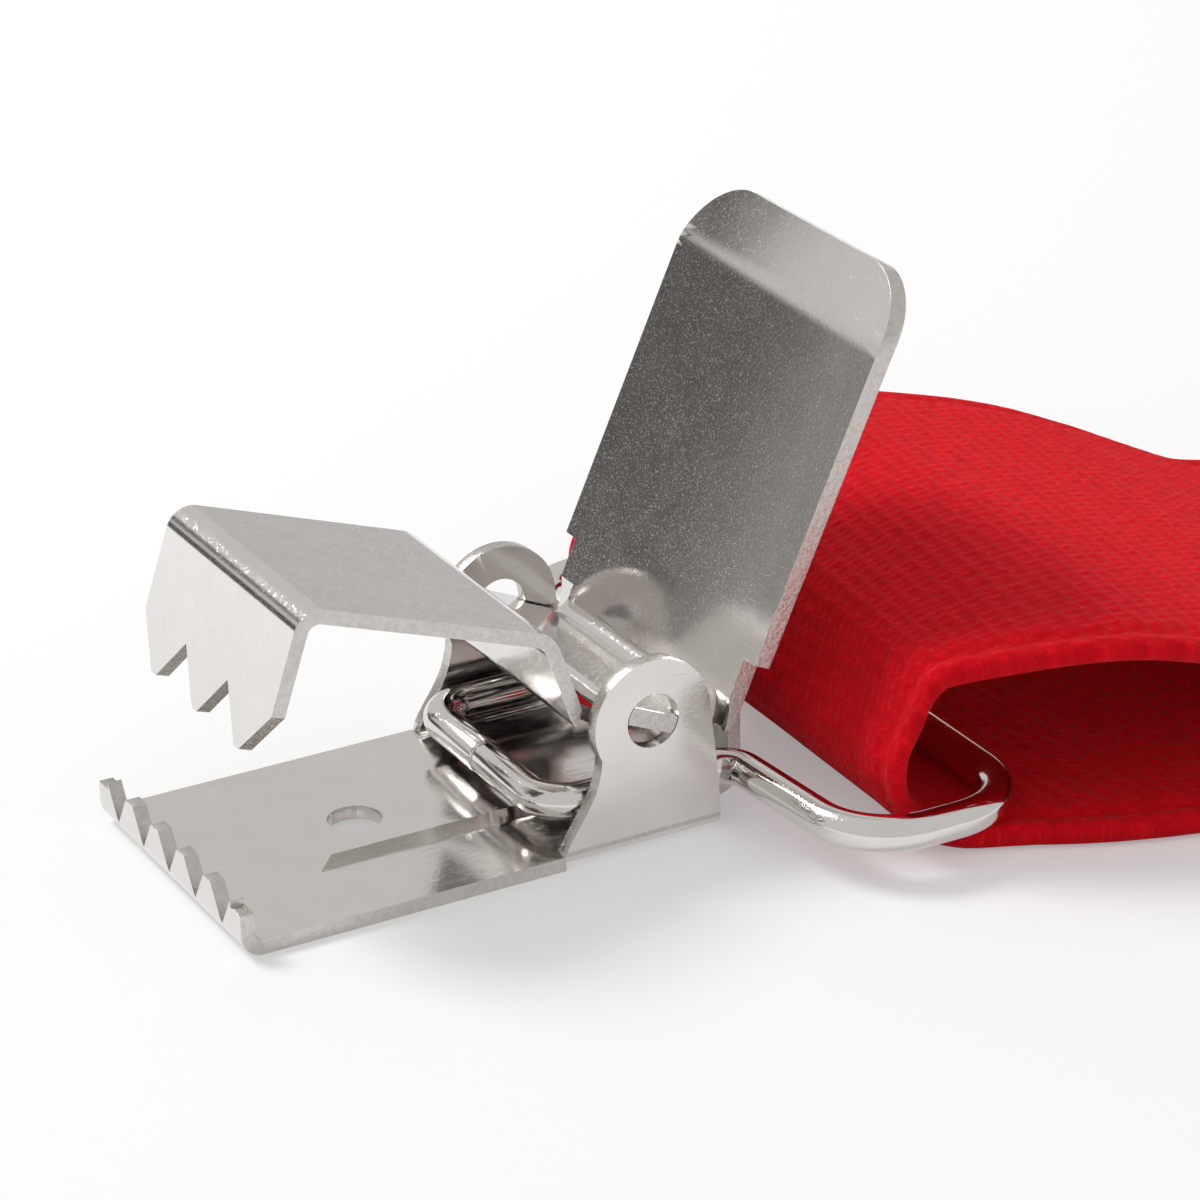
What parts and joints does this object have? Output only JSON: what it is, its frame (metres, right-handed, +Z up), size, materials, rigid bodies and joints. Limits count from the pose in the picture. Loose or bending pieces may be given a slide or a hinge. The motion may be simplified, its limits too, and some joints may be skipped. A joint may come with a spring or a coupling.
{
  "type": "brace clip",
  "caption": "Sheet-metal clip with a toothed mouth closed by a cam lever, and a wire ring carrying a folded and sewn strip of elastic webbing.",
  "frame": {"origin": "on the base plate's flat underside, straight below the lever's pivot axis, midway between the ears", "axes": "+X from the toothed front lip towards the strap's free end, +Y to the left when looking along +X, +Z up"},
  "size_m": [0.0976, 0.0428, 0.0296],
  "materials": {
    "plated_steel": "nickel plated, bright",
    "webbing": "ribbed elastic weave",
    "thread": "sewing thread"
  },
  "bodies": {
    "base": {"base_plate": "plated_steel"},
    "jaw": {"upper_jaw": "plated_steel"},
    "lever": {"cam_lever": "plated_steel"},
    "ring": {"wire_ring": "plated_steel"},
    "strap": {"webbing_loop": "webbing", "stitching": "thread"}
  },
  "joints": [
    {"name": "lever_pivot", "type": "hinge", "parent": "base", "child": "lever", "pos_m": [0, 0, 0.0075], "axis": [0, -1, 0], "range_deg": [0, 114]},
    {"name": "jaw_hinge", "type": "hinge", "parent": "base", "child": "jaw", "pos_m": [0.007, 0, 0.0045], "axis": [0, -1, 0], "range_deg": [0, 17.2]},
    {"name": "ring_swing", "type": "hinge", "parent": "base", "child": "ring", "pos_m": [-0.0054, 0, 0.00285], "axis": [0, -1, 0], "range_deg": [-3, 5]},
    {"name": "strap_swing", "type": "hinge", "parent": "ring", "child": "strap", "pos_m": [0.017, 0, 0.0027], "axis": [0, -1, 0], "range_deg": [-10, 10]}
  ],
  "couplings": [
    {"joint": "jaw_hinge", "follows": "lever_pivot", "ratio": 0.15087}
  ]
}
